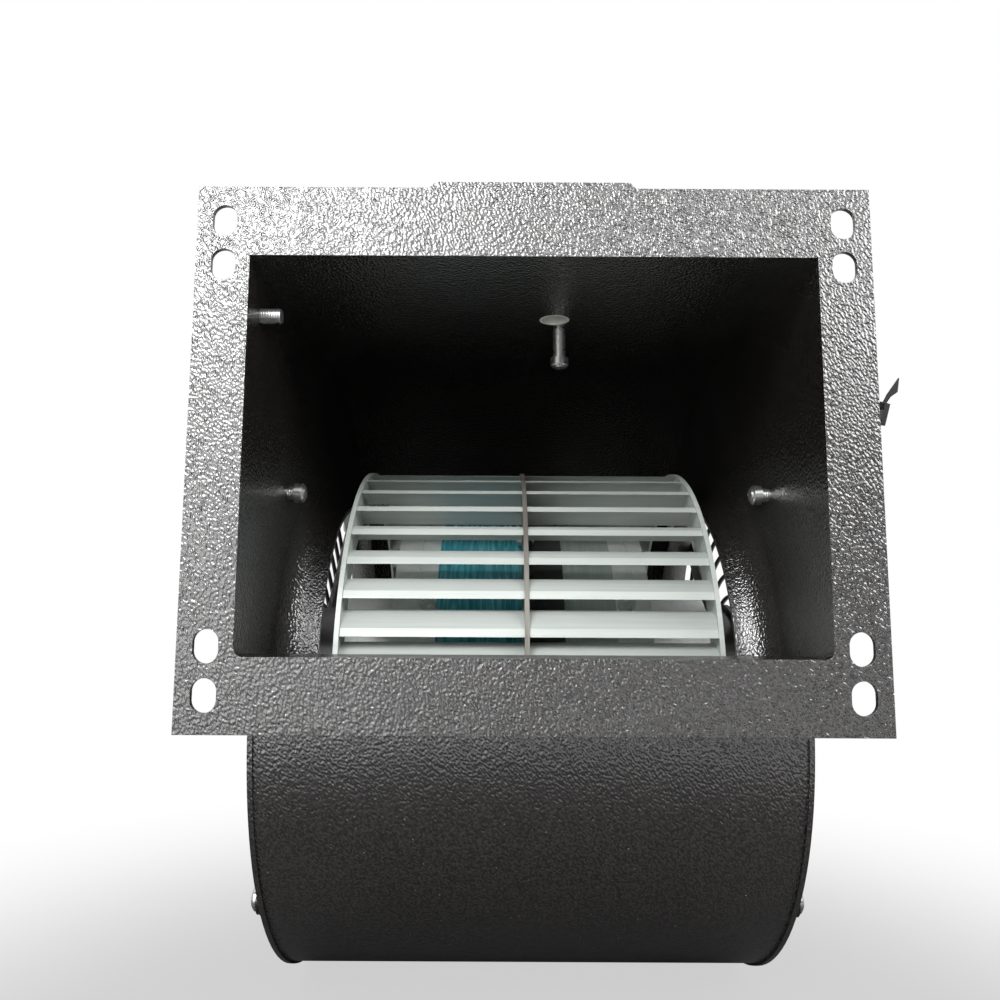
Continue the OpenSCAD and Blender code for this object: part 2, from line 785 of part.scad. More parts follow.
// Ring pressed onto the can, with the flange that the disc is riveted to
module hub_ring() color("#191a1b") {
    difference() {
        union() {
            hoop(rotor_r + seat_gap, rotor_r + hub_wall, disc_right, disc_right + hub_ring_l);
            hoop(rotor_r + seat_gap, hub_ring_r, disc_right, disc_right + hub_flange_t);
        }
        at_rivets() rod_x(disc_right - 1, rivet_d / 2, hub_flange_t + 2, hole_fn);
    }
}

module disc_rivets() color("#dfe4e1") {
    at_rivets() {
        rod_x(disc_left, rivet_d / 2 - seat_gap, disc_t + hub_flange_t, hole_fn);
        rod_x(disc_left - rivet_head_h, rivet_head_d / 2, rivet_head_h, hole_fn);
        rod_x(disc_right + hub_flange_t, rivet_tail_d / 2, rivet_tail_h, hole_fn);
    }
}

module impeller_disc() color("#c8cfcb") {
    difference() {
        hoop(rotor_r + seat_gap, impeller_r, disc_left, disc_right);
        at_rivets() rod_x(disc_left - 1, rivet_d / 2, disc_t + 2, hole_fn);
    }
}

// One blade seen from the side, its tip straight ahead of the axis
module blade_profile() {
    intersection() {
        difference() {
            translate(curve_c) circle(blade_curve + blade_t / 2, $fn = wide_fn);
            translate(curve_c) circle(blade_curve - blade_t / 2, $fn = wide_fn);
        }
        difference() {
            circle(tip_r, $fn = fine);
            circle(blade_in, $fn = fine);
        }
        translate([-tip_r - 1, -3]) square([tip_r - blade_in + 6, 18]);
    }
}

module blades(x1, x2) {
    for (k = [0:blade_count - 1])
        turned(blade_phase + k * 360 / blade_count) along_x(x1, x2 - x1) blade_profile();
}

module impeller_blades_left() color("#ccd4cf") blades(-half_l + ring_t, disc_left);
module impeller_blades_right() color("#ccd4cf") blades(disc_right, half_l - ring_t);

module impeller_ring(side) {
    on_side(side) {
        hoop(blade_in, impeller_r, half_l - ring_t, half_l);
        hoop(impeller_r - lip_t, impeller_r, half_l - ring_t - ring_lip, half_l);
    }
}

module impeller_ring_left() color("#c8cfcb") impeller_ring(-1);
module impeller_ring_right() color("#c8cfcb") impeller_ring(1);

// Spring clips hooked over blade tips, one opposite the other
module balance_clips() color("#8d9290") {
    blade_step = 360 / blade_count;
    clip_l = 7;
    for (side = [-1, 1])
        turned(blade_phase + 5 * blade_step + (side > 0 ? 180 : 0))
            along_x(side * (half_l - 9) - clip_l / 2, clip_l) intersection() {
                difference() {
                    translate(curve_c) circle(blade_curve + blade_t / 2 + 0.7, $fn = wide_fn);
                    translate(curve_c) circle(blade_curve + blade_t / 2 + seat_gap, $fn = wide_fn);
                }
                difference() {
                    circle(tip_r, $fn = fine);
                    circle(tip_r - 4.5, $fn = fine);
                }
                translate([-tip_r - 1, -3]) square([tip_r - blade_in + 6, 18]);
            }
}

// Tray that sits on the housing's top
module box_base() color("#1d1c1c") {
    difference() {
        translate([-box_in_w / 2, box_mid_y - box_in_l / 2, roof]) cube([box_in_w, box_in_l, base_h]);
        translate([-box_in_w / 2 + box_wall, box_mid_y - box_in_l / 2 + box_wall, roof + box_wall])
            cube([box_in_w - 2 * box_wall, box_in_l - 2 * box_wall, base_h]);
        translate([fixing_at[0], fixing_at[1], roof - 1]) cylinder(h = box_wall + 2, d = m4_hole, $fn = hole_fn);
        translate([bush_at[0], bush_at[1], roof - 1])
            cylinder(h = box_wall + 2, d = bush_hole_d + 2 * bush_wall, $fn = round_fn);
        translate([0, grommet_y, grommet_z]) rod_x(box_in_w / 2 - 3, grommet_hole_d / 2, 6);
        translate([gland_x, base_back - 3, gland_z]) rotate([-90, 0, 0])
            cylinder(h = 6, d = gland_stub_d + 2 * hole_gap, $fn = round_fn);
        for (s = [-1, 1])
            translate([0, box_mid_y, cover_screw_z]) on_side(s)
                rod_x(box_in_w / 2 - 3, cover_screw_d / 2 + seat_gap, 6, hole_fn);
    }
}

// Cover that slides down over the tray
module box_cover() color("#1d1c1c") {
    skirt_z = box_top - cover_h;
    w = box_w / 2;
    in_w = w - box_wall;
    bevel = cover_bevel;
    lead_r = grommet_hole_d / 2 + grommet_rim + hole_gap;
    gland_r = gland_d / 2 + hole_gap;
    difference() {
        along_y(box_y, box_l) polygon([
            [-w, skirt_z], [w, skirt_z], [w, box_top - bevel], [w - bevel, box_top],
            [bevel - w, box_top], [-w, box_top - bevel]]);
        along_y(box_y + box_wall, box_l - 2 * box_wall) polygon([
            [-in_w, skirt_z - 1], [in_w, skirt_z - 1], [in_w, box_top - bevel - box_wall / 2],
            [in_w - bevel + box_wall / 2, box_top - box_wall], [bevel - box_wall / 2 - in_w, box_top - box_wall],
            [-in_w, box_top - bevel - box_wall / 2]]);
        for (s = [-1, 1])
            translate([0, box_mid_y, cover_screw_z]) on_side(s)
                rod_x(w - 3, cover_screw_d / 2 + hole_gap, 6, hole_fn);
        translate([0, grommet_y, grommet_z]) rod_x(w - 3, lead_r, 6);
        translate([w - 3, grommet_y - lead_r, roof]) cube([6, 2 * lead_r, grommet_z - roof]);
        translate([gland_x, box_y + box_l - 3, gland_z]) rotate([-90, 0, 0])
            cylinder(h = 6, r = gland_r, $fn = round_fn);
        translate([gland_x - gland_r, box_y + box_l - 3, roof]) cube([2 * gland_r, 6, gland_z - roof]);
    }
}

module box_cover_screws() color("#c9ccca") {
    for (s = [-1, 1])
        translate([0, box_mid_y, cover_screw_z]) on_side(s)
            screw_x(box_w / 2 - cover_screw_l, box_w / 2, d = cover_screw_d,
                head_d = cover_head_d, head_h = cover_head_h);
}

// Screw that hangs from the box's floor into the outlet
module box_fixing_screw() color("#c9ccca")
    translate([fixing_at[0], fixing_at[1], 0]) rotate([0, -90, 0])
        screw_x(duct_top - drop_reach, roof + box_wall);

module box_fixing_nut() color("#d5d8d6")
    translate([fixing_at[0], fixing_at[1], 0]) rotate([0, -90, 0])
        collar_x(duct_top - drop_reach + nut_step);

module spare_hole_bush() color("#d9dad2") {
    bush_h = sheet_t + box_wall;
    bush_d = bush_hole_d + 2 * bush_wall;
    translate([bush_at[0], bush_at[1], duct_top]) difference() {
        union() {
            cylinder(h = bush_h, d = bush_d - 2 * seat_gap, $fn = round_fn);
            translate([0, 0, bush_h]) cylinder(h = bush_rim, d = bush_d + 2 * bush_rim, $fn = round_fn);
        }
        translate([0, 0, -1]) cylinder(h = bush_h + bush_rim + 2, d = bush_hole_d, $fn = round_fn);
    }
}

module driver_board() color("#2c6a46") {
    difference() {
        translate([-board_w / 2, box_mid_y - board_l / 2, board_z]) cube([board_w, board_l, board_t]);
        board_corners() translate([0, 0, board_z - 1]) cylinder(h = board_t + 2, d = spacer_pin_d, $fn = hole_fn);
    }
    for (k = [-1, 0, 1])
        translate([k * chip_pitch - chip[0] / 2, box_mid_y + 3, board_top]) cube(chip);
}

// Children at each corner hole of the driver board
module board_corners() {
    for (sx = [-1, 1], sy = [-1, 1])
        translate([sx * (board_w / 2 - corner_in), box_mid_y + sy * (board_l / 2 - corner_in), 0]) children();
}

module board_spacers() color("#e4e3dc") {
    board_corners() translate([0, 0, roof + box_wall]) {
        cylinder(h = board_rise, d = spacer_d, $fn = hole_fn);
        cylinder(h = board_rise + board_t + spacer_tip, d = spacer_pin_d - 2 * seat_gap, $fn = hole_fn);
    }
}

module filter_capacitors() color("#2a3038") {
    for (k = [-1, 1])
        translate([k * cap_pitch / 2, box_mid_y - 8, board_top]) cylinder(h = cap_h, d = cap_d, $fn = round_fn);
}

module terminal_block() color("#3a7a55") {
    translate([gland_x - block[0] / 2, gland_in - block[1], board_top]) difference() {
        cube(block);
        for (k = [-1:1])
            translate([block[0] / 2 + k * block_pitch, block[1] / 2 - 1, block[2] / 2 + 1])
                cylinder(h = block[2], d = block_hole_d, $fn = hole_fn);
    }
}

module supply_gland() color("#202020") {
    cap_r = gland_d / 2 - 0.8;
    cap_l = gland_cap_h;
    translate([gland_x, base_back, gland_z]) rotate([-90, 0, 0]) difference() {
        union() {
            translate([0, 0, -gland_stub_l]) cylinder(h = gland_stub_l + 2, d = gland_stub_d, $fn = round_fn);
            cylinder(h = gland_hex_h, d = gland_d, $fn = 6);
            translate([0, 0, gland_hex_h]) rotate_extrude($fn = wide_fn)
                polygon([[0, 0], [cap_r, 0], [cap_r, cap_l * 0.6], [gland_bore / 2 + 1.2, cap_l], [0, cap_l]]);
        }
        translate([0, 0, -gland_stub_l - 1])
            cylinder(h = gland_stub_l + gland_hex_h + cap_l + 2, d = gland_bore, $fn = round_fn);
    }
}

module gland_locknut() color("#202020") {
    nut_h = 3;
    translate([gland_x, base_back - box_wall, gland_z]) rotate([90, 0, 0]) difference() {
        cylinder(h = nut_h, d = gland_d, $fn = 6);
        translate([0, 0, -1]) cylinder(h = nut_h + 2, d = gland_stub_d + 2 * seat_gap, $fn = round_fn);
    }
}

// Rubber ring along +X with a groove for the wall that it sits in
module grommet(x, wall, hole_d) {
    difference() {
        union() {
            rod_x(x - grommet_rim_t, hole_d / 2 + grommet_rim, grommet_rim_t - seat_gap);
            rod_x(x - grommet_rim_t / 2, hole_d / 2 - seat_gap, wall + grommet_rim_t);
            rod_x(x + wall + seat_gap, hole_d / 2 + grommet_rim, grommet_rim_t);
        }
        rod_x(x - 3, lead_d / 2 + seat_gap, wall + 6);
    }
}

module box_grommet() color("#181818")
    translate([0, grommet_y, grommet_z]) grommet(box_in_w / 2 - box_wall, box_wall, grommet_hole_d);

module bracket_grommet() color("#181818")
    turned(0) translate([0, -lead_hole_r, 0]) difference() {
        union() {
            rod_x(dish_floor - 1, lead_hole_d / 2 - seat_gap, bracket_t + 2);
            rod_x(dish_floor + bracket_t + seat_gap, lead_hole_d / 2 + grommet_rim, grommet_rim_t);
        }
        rod_x(dish_floor - 3, lead_d / 2 + seat_gap, bracket_t + 6);
    }

// Point at t between the second and third of four route points
function blend(p, t) = 0.5 * (2 * p[1] + (p[2] - p[0]) * t
    + (2 * p[0] - 5 * p[1] + 4 * p[2] - p[3]) * t * t
    + (3 * p[1] - p[0] - 3 * p[2] + p[3]) * t * t * t);
function unit(v) = v / norm(v);
function route_point(i) = lead_points[max(0, min(len(lead_points) - 1, i))];
lead_path = [
    for (i = [0:len(lead_points) - 2], s = [0:lead_steps - 1])
        blend([for (k = [-1:2]) route_point(i + k)], s / lead_steps),
    route_point(len(lead_points) - 1)];

// Ring of points about one point of the path
function lead_ring(i) =
    let (last = len(lead_path) - 1)
    let (along = unit(lead_path[min(last, i + 1)] - lead_path[max(0, i - 1)]))
    let (across = unit(cross(along, [0.6, 1, -1])))
    let (over = cross(along, across))
    [for (k = [0:lead_sides - 1])
        let (a = k * 360 / lead_sides)
        lead_path[i] + lead_d / 2 * (cos(a) * across + sin(a) * over)];

module motor_lead() color("#121212") {
    count = len(lead_path);
    last = (count - 1) * lead_sides;
    walls = [
        for (i = [0:count - 2], k = [0:lead_sides - 1])
            let (a = i * lead_sides + k, b = i * lead_sides + (k + 1) % lead_sides)
            each [[a, b, b + lead_sides], [a, b + lead_sides, a + lead_sides]]];
    ends = [
        for (k = [1:lead_sides - 2])
            each [[0, k + 1, k], [last, last + k, last + k + 1]]];
    polyhedron([for (i = [0:count - 1]) each lead_ring(i)], concat(walls, ends));
}

// Band round the lead, its head outwards and its cut tail up
module cable_tie() color("#0f0f0f") {
    in_r = lead_d / 2 + tie_gap;
    translate(tie_at) rotate([tie_turn, 0, 0]) {
        difference() {
            translate([0, 0, -tie_w / 2]) cylinder(h = tie_w, r = in_r + tie_t, $fn = round_fn);
            translate([0, 0, -tie_w]) cylinder(h = 2 * tie_w, r = in_r, $fn = round_fn);
        }
        difference() {
            translate([in_r - 0.6, -tie_head[1] / 2, -tie_head[2] / 2]) rotate([0, 6, 0]) cube(tie_head);
            translate([0, 0, -tie_head[2]]) cylinder(h = 2 * tie_head[2], r = in_r, $fn = round_fn);
        }
        translate([in_r + tie_t, tie_t / 2, tie_head[2] / 2]) rotate([90, 0, 0]) linear_extrude(tie_t)
            polygon([[-0.6, -1], [0.4, -0.6], [1.6, 1.6], [3.4, 3], [3.3, 7], [0.6, 2.2]]);
    }
}

// Nylon saddle that holds the lead down on the housing's top
module lead_saddle() color("#1c1c1c") {
    difference() {
        translate([saddle_at[0], saddle_at[1], 0]) rotate([0, 0, saddle_turn]) {
            translate([-saddle_w / 2, 0, saddle_at[2]]) rotate([0, 90, 0])
                cylinder(h = saddle_w, r = lead_d / 2 + saddle_wall, $fn = wide_fn);
            translate([-saddle_w / 2, -lead_d / 2 - saddle_wall, roof])
                cube([saddle_w, lead_d + 2 * saddle_wall, saddle_at[2] - roof]);
            translate([-saddle_foot[0] / 2, -saddle_foot[1] / 2, roof]) cube(saddle_foot);
        }
        translate(saddle_at) rotate([0, 0, saddle_turn]) rotate([0, 90, 0])
            translate([0, 0, -saddle_w]) cylinder(h = 2 * saddle_w, r = lead_d / 2 + saddle_gap, $fn = round_fn);
        translate([saddle_at[0] - 20, saddle_at[1] - 20, roof - 20]) cube([40, 40, 20]);
    }
}

module earth_screw() color("#c9ccca")
    on_side(-1) translate([0, earth_at[0], earth_at[1]]) screw_x(half_w - earth_reach, plate_out + washer_t);

module earth_washer() color("#b8a25c")
    on_side(-1) translate([0, earth_at[0], earth_at[1]]) difference() {
        rod_x(plate_out, washer_d / 2, washer_t);
        rod_x(plate_out - 1, m4_hole / 2, washer_t + 2, hole_fn);
    }

scroll_wrap();
side_plate_left();
side_plate_right();
outlet_flange();
finger_guard_left();
finger_guard_right();
guard_screws_left();
guard_screws_right();
guard_nuts();
motor_bracket_left();
motor_bracket_right();
motor_mount_left();
motor_mount_right();
mount_screws();
mount_screw_nuts();
motor_axle();
axle_washers();
axle_nuts();
stator_core();
stator_windings();
sensor_board();
bearing_left();
bearing_right();
rotor_can();
rotor_magnets();
end_bell_left();
end_bell_right();
end_bell_screws();
rotor_sleeve();
hub_ring();
disc_rivets();
impeller_disc();
impeller_blades_left();
impeller_blades_right();
impeller_ring_left();
impeller_ring_right();
balance_clips();
box_base();
box_cover();
box_cover_screws();
box_fixing_screw();
box_fixing_nut();
spare_hole_bush();
driver_board();
board_spacers();
filter_capacitors();
terminal_block();
supply_gland();
gland_locknut();
box_grommet();
bracket_grommet();
motor_lead();
cable_tie();
lead_saddle();
earth_screw();
earth_washer();
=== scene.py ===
# Double inlet blower, dressed round its CAD frame. Metres, +Z up, outlet towards -Y.
import json
import math

import bpy
from mathutils import Euler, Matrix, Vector


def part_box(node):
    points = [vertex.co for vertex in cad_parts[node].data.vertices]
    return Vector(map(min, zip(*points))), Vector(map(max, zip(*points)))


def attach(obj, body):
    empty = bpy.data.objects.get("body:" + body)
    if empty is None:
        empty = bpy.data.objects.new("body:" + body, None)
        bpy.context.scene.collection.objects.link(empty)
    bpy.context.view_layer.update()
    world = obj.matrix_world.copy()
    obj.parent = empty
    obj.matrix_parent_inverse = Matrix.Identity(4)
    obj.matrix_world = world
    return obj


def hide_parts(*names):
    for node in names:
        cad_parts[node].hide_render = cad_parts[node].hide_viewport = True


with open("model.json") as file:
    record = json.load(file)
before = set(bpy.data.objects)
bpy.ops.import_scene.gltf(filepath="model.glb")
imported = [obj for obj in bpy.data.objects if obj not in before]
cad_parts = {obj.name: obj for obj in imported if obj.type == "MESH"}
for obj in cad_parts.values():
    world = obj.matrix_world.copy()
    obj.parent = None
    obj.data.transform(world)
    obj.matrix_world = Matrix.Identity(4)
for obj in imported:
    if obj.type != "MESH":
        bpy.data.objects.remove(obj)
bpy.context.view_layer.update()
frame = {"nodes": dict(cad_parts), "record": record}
print("frame loaded,", len(frame["nodes"]), "nodes")


def newGroup(name, inputs, outputs):
    group = bpy.data.node_groups.new(name, "ShaderNodeTree")
    for label, kind, value in inputs:
        item = group.interface.new_socket(name=label, in_out="INPUT", socket_type=kind)
        item.default_value = value
    for label in outputs:
        group.interface.new_socket(name=label, in_out="OUTPUT", socket_type="NodeSocketFloat")
    start = group.nodes.new("NodeGroupInput")
    end = group.nodes.new("NodeGroupOutput")
    return group, start, end


def addNode(tree, kind, **settings):
    node = tree.nodes.new(kind)
    for key, value in settings.items():
        setattr(node, key, value)
    return node


def mathNode(tree, operation, a, b):
    node = addNode(tree, "ShaderNodeMath", operation=operation)
    for socket, value in zip(node.inputs, (a, b)):
        if isinstance(value, (int, float)):
            socket.default_value = value
        else:
            tree.links.new(value, socket)
    return node.outputs[0]


def mixColor(tree, factor, a, b):
    node = addNode(tree, "ShaderNodeMix", data_type="RGBA")
    for socket, value in ((node.inputs[0], factor), (node.inputs[6], a), (node.inputs[7], b)):
        if isinstance(value, (int, float)):
            socket.default_value = value
        elif isinstance(value, tuple):
            socket.default_value = (*value, 1)
        else:
            tree.links.new(value, socket)
    return node.outputs[2]


def rampNode(tree, factor, low, high):
    node = addNode(tree, "ShaderNodeValToRGB")
    node.color_ramp.elements[0].position = low
    node.color_ramp.elements[1].position = high
    tree.links.new(factor, node.inputs[0])
    return node.outputs[0]


# Wrinkled powder coat: small rounded bumps of one size, longer than wide, with fine grain on them
wrinkleSet = dict(turn=(18, -32, 12), stretch=(1.0, 1.0, 1.6), fineScale=2.7, ridge=(0.35, 0.65))


def buildWrinkleGroup():
    group, start, end = newGroup(
        "wrinkleCoat",
        [("Scale", "NodeSocketFloat", 1000.0), ("Grain", "NodeSocketFloat", 0.2)],
        ["Height", "Ridge"])
    coord = addNode(group, "ShaderNodeTexCoord")
    turn = addNode(group, "ShaderNodeMapping", vector_type="TEXTURE")
    turn.inputs["Rotation"].default_value = [math.radians(angle) for angle in wrinkleSet["turn"]]
    turn.inputs["Scale"].default_value = wrinkleSet["stretch"]
    group.links.new(coord.outputs["Object"], turn.inputs["Vector"])
    bumps = addNode(group, "ShaderNodeTexNoise")
    bumps.inputs["Detail"].default_value = 0
    group.links.new(turn.outputs[0], bumps.inputs["Vector"])
    group.links.new(start.outputs["Scale"], bumps.inputs["Scale"])
    fine = addNode(group, "ShaderNodeTexNoise")
    fine.inputs["Detail"].default_value = 1
    group.links.new(turn.outputs[0], fine.inputs["Vector"])
    fineScale = mathNode(group, "MULTIPLY", start.outputs["Scale"], wrinkleSet["fineScale"])
    group.links.new(fineScale, fine.inputs["Scale"])
    grain = mathNode(group, "MULTIPLY", fine.outputs["Fac"], start.outputs["Grain"])
    height = mathNode(group, "ADD", bumps.outputs["Fac"], grain)
    group.links.new(height, end.inputs["Height"])
    # The Ridge mask also paints the coat's colour darker in the dips between the bumps: painted
    # shade
    ridge = rampNode(group, bumps.outputs["Fac"], *wrinkleSet["ridge"])
    group.links.new(ridge, end.inputs["Ridge"])
    return group


# Fine marks drawn out along one direction, as on rolled or turned metal
markSet = dict(detail=3, span=(0.3, 0.7))


def buildStreakGroup():
    group, start, end = newGroup(
        "drawnMarks",
        [("Stretch", "NodeSocketVector", (30, 900, 900))],
        ["Mark"])
    coord = addNode(group, "ShaderNodeTexCoord")
    scaled = addNode(group, "ShaderNodeVectorMath", operation="MULTIPLY")
    group.links.new(coord.outputs["Object"], scaled.inputs[0])
    group.links.new(start.outputs["Stretch"], scaled.inputs[1])
    noise = addNode(group, "ShaderNodeTexNoise")
    noise.inputs["Scale"].default_value = 1
    noise.inputs["Detail"].default_value = markSet["detail"]
    group.links.new(scaled.outputs[0], noise.inputs["Vector"])
    mark = rampNode(group, noise.outputs["Fac"], *markSet["span"])
    group.links.new(mark, end.inputs["Mark"])
    return group


# Specks and soft smudges of dust
dustSet = dict(rarity=0.86, smudgeScale=35, smudgeDetail=4, smudge=(0.42, 0.72))


def buildDustGroup():
    group, start, end = newGroup(
        "dustSpecks",
        [("Scale", "NodeSocketFloat", 260.0), ("Amount", "NodeSocketFloat", 0.1)],
        ["Speck", "Smudge"])
    coord = addNode(group, "ShaderNodeTexCoord")
    cells = addNode(group, "ShaderNodeTexVoronoi")
    group.links.new(coord.outputs["Object"], cells.inputs["Vector"])
    group.links.new(start.outputs["Scale"], cells.inputs["Scale"])
    near = mathNode(group, "LESS_THAN", cells.outputs["Distance"], start.outputs["Amount"])
    chosen = addNode(group, "ShaderNodeSeparateColor")
    group.links.new(cells.outputs["Color"], chosen.inputs[0])
    rare = mathNode(group, "GREATER_THAN", chosen.outputs[0], dustSet["rarity"])
    group.links.new(mathNode(group, "MULTIPLY", near, rare), end.inputs["Speck"])
    smudge = addNode(group, "ShaderNodeTexNoise")
    smudge.inputs["Scale"].default_value = dustSet["smudgeScale"]
    smudge.inputs["Detail"].default_value = dustSet["smudgeDetail"]
    group.links.new(coord.outputs["Object"], smudge.inputs["Vector"])
    soft = rampNode(group, smudge.outputs["Fac"], *dustSet["smudge"])
    group.links.new(soft, end.inputs["Smudge"])
    return group


wrinkleCoat = buildWrinkleGroup()
drawnMarks = buildStreakGroup()
dustSpecks = buildDustGroup()


def placeGroup(tree, group, **values):
    node = addNode(tree, "ShaderNodeGroup", node_tree=group)
    for key, value in values.items():
        node.inputs[key].default_value = value
    return node


def newMaterial(name, color, roughness, metallic=0.0):
    material = bpy.data.materials.new(name)
    material.use_nodes = True
    shader = material.node_tree.nodes["Principled BSDF"]
    shader.inputs["Base Color"].default_value = (*color, 1)
    shader.inputs["Roughness"].default_value = roughness
    shader.inputs["Metallic"].default_value = metallic
    material.diffuse_color = (*color, 1)
    return material, material.node_tree, shader


def addBump(tree, shader, height, strength, distance):
    bump = addNode(tree, "ShaderNodeBump")
    bump.inputs["Strength"].default_value = strength
    bump.inputs["Distance"].default_value = distance
    tree.links.new(height, bump.inputs["Height"])
    tree.links.new(bump.outputs[0], shader.inputs["Normal"])


# Roughness that grows by a small amount where the mask is full
def addRoughness(tree, shader, mask, growth, roughness):
    rough = mathNode(tree, "ADD", mathNode(tree, "MULTIPLY", mask, growth), roughness)
    tree.links.new(rough, shader.inputs["Roughness"])


def coatMaterial(name, look):
    material, tree, shader = newMaterial(name, look["base"], look["roughness"])
    shader.inputs["Specular IOR Level"].default_value = look["gloss"]
    shader.inputs["IOR"].default_value = look["ior"]
    wrinkle = placeGroup(tree, wrinkleCoat, Scale=look["bumpScale"], Grain=look["grain"])
    dust = placeGroup(tree, dustSpecks, Scale=look["dustScale"], Amount=look["dustSize"])
    # Painted shade: the coat's colour goes near black in the dips between the wrinkle bumps
    shade = mixColor(tree, wrinkle.outputs["Ridge"], look["paintedHollowShade"], look["base"])
    smudgeShare = mathNode(tree, "MULTIPLY", dust.outputs["Smudge"], look["smudge"])
    smudged = mixColor(tree, smudgeShare, shade, look["dust"])
    speckShare = mathNode(tree, "MULTIPLY", dust.outputs["Speck"], look["speck"])
    specked = mixColor(tree, speckShare, smudged, look["lint"])
    tree.links.new(specked, shader.inputs["Base Color"])
    addRoughness(tree, shader, dust.outputs["Smudge"], look["dulling"], look["roughness"])
    addBump(tree, shader, wrinkle.outputs["Height"], look["relief"], look["depth"])
    return material


# Shared by every finish that isn't a coat
metalSet = dict(dustScale=200.0, dustSize=0.1, dulling=0.14, depth=0.00006)


def metalMaterial(name, look):
    material, tree, shader = newMaterial(name, look["base"], look["roughness"], look["metallic"])
    marks = placeGroup(tree, drawnMarks, Stretch=look["stretch"])
    dust = placeGroup(tree, dustSpecks, Scale=metalSet["dustScale"], Amount=metalSet["dustSize"])
    tinted = mixColor(tree, marks.outputs["Mark"], look["base"], look["streak"])
    stainShare = mathNode(tree, "MULTIPLY", dust.outputs["Smudge"], look["dull"])
    dulled = mixColor(tree, stainShare, tinted, look["stain"])
    tree.links.new(dulled, shader.inputs["Base Color"])
    addRoughness(tree, shader, marks.outputs["Mark"], metalSet["dulling"], look["roughness"])
    addBump(tree, shader, marks.outputs["Mark"], look["relief"], metalSet["depth"])
    return material
